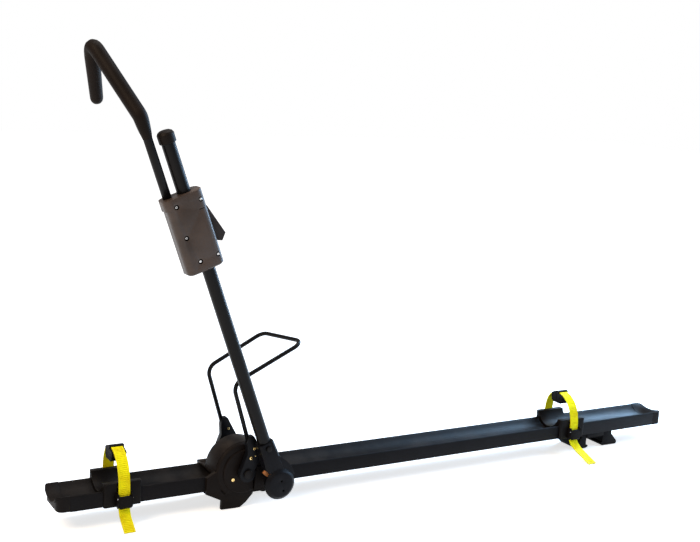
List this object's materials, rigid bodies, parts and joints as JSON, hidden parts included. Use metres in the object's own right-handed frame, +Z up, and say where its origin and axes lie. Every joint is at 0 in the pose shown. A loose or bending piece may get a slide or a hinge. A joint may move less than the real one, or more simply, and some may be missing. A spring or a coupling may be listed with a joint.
{
  "type": "upright roof bike rack",
  "caption": "Upright wheel-on roof rack: long wheel tray with strapped cradles, a fold-down mast with a ratcheting wheel hook, a wire wheel hoop and crossbar clamps.",
  "frame": {"origin": "centre of the front saddle face that rests on the front crossbar", "axes": "+X along the tray from the front wheel's end to the rear wheel's end, +Z up, the mast stands on the -Y side"},
  "size_m": [1.45, 0.1929, 0.855],
  "materials": {
    "tray_black": "satin black powder coat",
    "moulded_black": "fine-grained black moulding",
    "mast_black": "semi-gloss black paint",
    "slider_grey": "dark grey moulding",
    "lever_grey": "dark grey moulding",
    "steel": "zinc-plated steel",
    "blackened_steel": "black oxide",
    "cast_black": "cast aluminium, painted black",
    "rubber_black": "soft black rubber",
    "nylon": "natural nylon",
    "strap_yellow": "bright yellow moulded strap",
    "tab_tan": "amber moulding"
  },
  "bodies": {
    "base": {"tray": "tray_black", "front_end_cap": "moulded_black", "rear_end_cap": "moulded_black", "base_body": "moulded_black", "base_cover_near": "moulded_black", "base_cover_far": "moulded_black", "cover_screws": "steel", "base_anchor_plate": "steel", "base_bolts": "steel", "front_saddle_pad": "rubber_black", "front_clamp_bolt": "steel", "hoop_pin": "blackened_steel", "mast_pivot_bolt": "steel", "mast_friction_washer": "nylon"},
    "hoop": {"hoop_wire": "mast_black", "hoop_gusset_near": "moulded_black", "hoop_gusset_far": "moulded_black", "gusset_screws": "steel"},
    "mast": {"mast_hub": "cast_black", "drum_cover": "moulded_black", "mast_tube": "mast_black", "mast_cap": "moulded_black", "socket_bolt": "steel"},
    "slider": {"slider_shell_near": "slider_grey", "slider_shell_far": "slider_grey", "slider_screws": "blackened_steel", "slider_bushes": "nylon", "release_lever_pin": "steel", "release_lever_spring": "steel", "ratchet_pawl_pin": "steel", "hook_rod": "mast_black", "hook_sleeve": "rubber_black"},
    "lever": {"release_lever": "lever_grey"},
    "pawl": {"ratchet_pawl": "steel"},
    "lock_tab": {"mast_lock_tab": "tab_tan"},
    "front_jaw": {"front_moving_jaw": "cast_black"},
    "front_nut": {"front_clamp_nut": "steel"},
    "rear_clamp": {"rear_clamp_block": "cast_black", "rear_saddle_pad": "rubber_black", "rear_clamp_bolt": "steel"},
    "rear_jaw": {"rear_moving_jaw": "cast_black"},
    "rear_nut": {"rear_clamp_nut": "steel"},
    "front_wheel_cradle": {"front_cradle": "moulded_black", "front_strap": "strap_yellow", "front_strap_screw": "steel", "front_rim_pad": "rubber_black", "front_buckle_body": "moulded_black", "front_buckle_pin": "steel"},
    "front_buckle": {"front_buckle_lever": "moulded_black"},
    "rear_wheel_cradle": {"rear_cradle": "moulded_black", "rear_strap": "strap_yellow", "rear_strap_screw": "steel", "rear_rim_pad": "rubber_black", "rear_buckle_body": "moulded_black", "rear_buckle_pin": "steel"},
    "rear_buckle": {"rear_buckle_lever": "moulded_black"}
  },
  "joints": [
    {"name": "mast_fold", "type": "hinge", "parent": "base", "child": "mast", "pos_m": [0.012, -0.08, 0.031], "axis": [0, 1, 0], "range_deg": [-15, 104]},
    {"name": "hook_slide", "type": "slide", "parent": "mast", "child": "slider", "axis": [-0.3502, 0, 0.9367], "range_m": [-0.32, 0.08]},
    {"name": "release_lever_squeeze", "type": "hinge", "parent": "slider", "child": "lever", "pos_m": [-0.16036, -0.08, 0.55481], "axis": [0, 1, 0], "range_deg": [0, 6], "stiffness_Nm_per_rad": 0.6, "springref_deg": -9.74},
    {"name": "pawl_lift", "type": "hinge", "parent": "slider", "child": "pawl", "pos_m": [-0.15796, -0.08, 0.53756], "axis": [0, 1, 0], "range_deg": [-6, 0]},
    {"name": "mast_lock_press", "type": "slide", "parent": "mast", "child": "lock_tab", "axis": [0.6947, 0, -0.7193], "range_m": [0, 0.0028], "stiffness_N_per_m": 300, "springref_m": -0.005},
    {"name": "hoop_fold", "type": "hinge", "parent": "base", "child": "hoop", "pos_m": [-0.042, 0, 0.048], "axis": [0, 1, 0], "range_deg": [0, 60]},
    {"name": "front_jaw_slide", "type": "slide", "parent": "base", "child": "front_jaw", "axis": [1, 0, 0], "range_m": [0, 0.02]},
    {"name": "front_nut_turn", "type": "hinge", "parent": "front_jaw", "child": "front_nut", "pos_m": [0.04, 0.02, 0.0082], "axis": [1, 0, 0], "continuous": true},
    {"name": "rear_clamp_slide", "type": "slide", "parent": "base", "child": "rear_clamp", "axis": [1, 0, 0], "range_m": [-0.3, 0.09]},
    {"name": "rear_jaw_slide", "type": "slide", "parent": "rear_clamp", "child": "rear_jaw", "axis": [1, 0, 0], "range_m": [0, 0.02]},
    {"name": "rear_nut_turn", "type": "hinge", "parent": "rear_jaw", "child": "rear_nut", "pos_m": [0.9115, 0, 0.0082], "axis": [1, 0, 0], "continuous": true},
    {"name": "front_cradle_slide", "type": "slide", "parent": "base", "child": "front_wheel_cradle", "axis": [1, 0, 0], "range_m": [-0.05, 0.1]},
    {"name": "front_buckle_open", "type": "hinge", "parent": "front_wheel_cradle", "child": "front_buckle", "pos_m": [-0.276, -0.053, 0.031], "axis": [-1, 0, 0], "range_deg": [0, 80]},
    {"name": "rear_cradle_slide", "type": "slide", "parent": "base", "child": "rear_wheel_cradle", "axis": [1, 0, 0], "range_m": [-0.35, 0.18]},
    {"name": "rear_buckle_open", "type": "hinge", "parent": "rear_wheel_cradle", "child": "rear_buckle", "pos_m": [0.774, -0.053, 0.031], "axis": [-1, 0, 0], "range_deg": [0, 80]}
  ],
  "couplings": [
    {"joint": "pawl_lift", "follows": "release_lever_squeeze", "ratio": -1}
  ]
}
